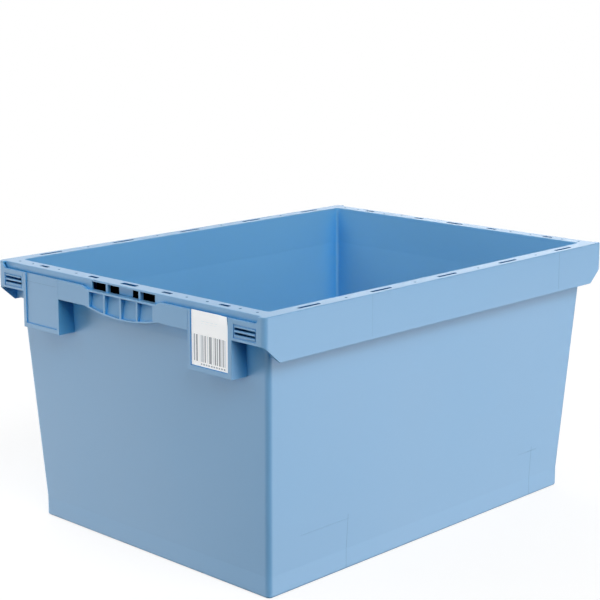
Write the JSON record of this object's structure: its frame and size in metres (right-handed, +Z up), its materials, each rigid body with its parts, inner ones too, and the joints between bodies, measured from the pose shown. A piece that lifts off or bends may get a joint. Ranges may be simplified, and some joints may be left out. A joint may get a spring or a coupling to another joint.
{
  "type": "stacking plastic crate",
  "caption": "Open-topped nesting and stacking crate with drafted walls, deep rim skirts, bowed end grips, label holders and a bar label.",
  "frame": {"origin": "on the floor under the middle of the crate, at the bottom centre of its box", "axes": "+X along the length towards the rear end, +Y towards the left side, +Z up; the labelled front end faces -X"},
  "size_m": [0.8, 0.6, 0.423],
  "materials": {
    "moulded_polypropylene": "satin, finely etched moulding",
    "label_film": "matt printed film"
  },
  "bodies": {
    "root": {"bar_label": "label_film", "base_ribs": "moulded_polypropylene", "floor_panel": "moulded_polypropylene", "front_centre_boss": "moulded_polypropylene", "front_grip": "moulded_polypropylene", "front_left_corner_post": "moulded_polypropylene", "front_left_label_holder": "moulded_polypropylene", "front_left_skirt": "moulded_polypropylene", "front_left_vent_bars": "moulded_polypropylene", "front_right_corner_post": "moulded_polypropylene", "front_right_label_holder": "moulded_polypropylene", "front_right_skirt": "moulded_polypropylene", "front_right_vent_bars": "moulded_polypropylene", "front_rim_gussets": "moulded_polypropylene", "front_rim_rail": "moulded_polypropylene", "front_wall": "moulded_polypropylene", "front_window_posts": "moulded_polypropylene", "left_rim_gussets": "moulded_polypropylene", "left_rim_rail": "moulded_polypropylene", "left_skirt": "moulded_polypropylene", "left_wall": "moulded_polypropylene", "rear_centre_boss": "moulded_polypropylene", "rear_grip": "moulded_polypropylene", "rear_left_corner_post": "moulded_polypropylene", "rear_left_label_holder": "moulded_polypropylene", "rear_left_skirt": "moulded_polypropylene", "rear_left_vent_bars": "moulded_polypropylene", "rear_right_corner_post": "moulded_polypropylene", "rear_right_label_holder": "moulded_polypropylene", "rear_right_skirt": "moulded_polypropylene", "rear_right_vent_bars": "moulded_polypropylene", "rear_rim_gussets": "moulded_polypropylene", "rear_rim_rail": "moulded_polypropylene", "rear_wall": "moulded_polypropylene", "rear_window_posts": "moulded_polypropylene", "right_rim_gussets": "moulded_polypropylene", "right_rim_rail": "moulded_polypropylene", "right_skirt": "moulded_polypropylene", "right_wall": "moulded_polypropylene"}
  },
  "joints": []
}
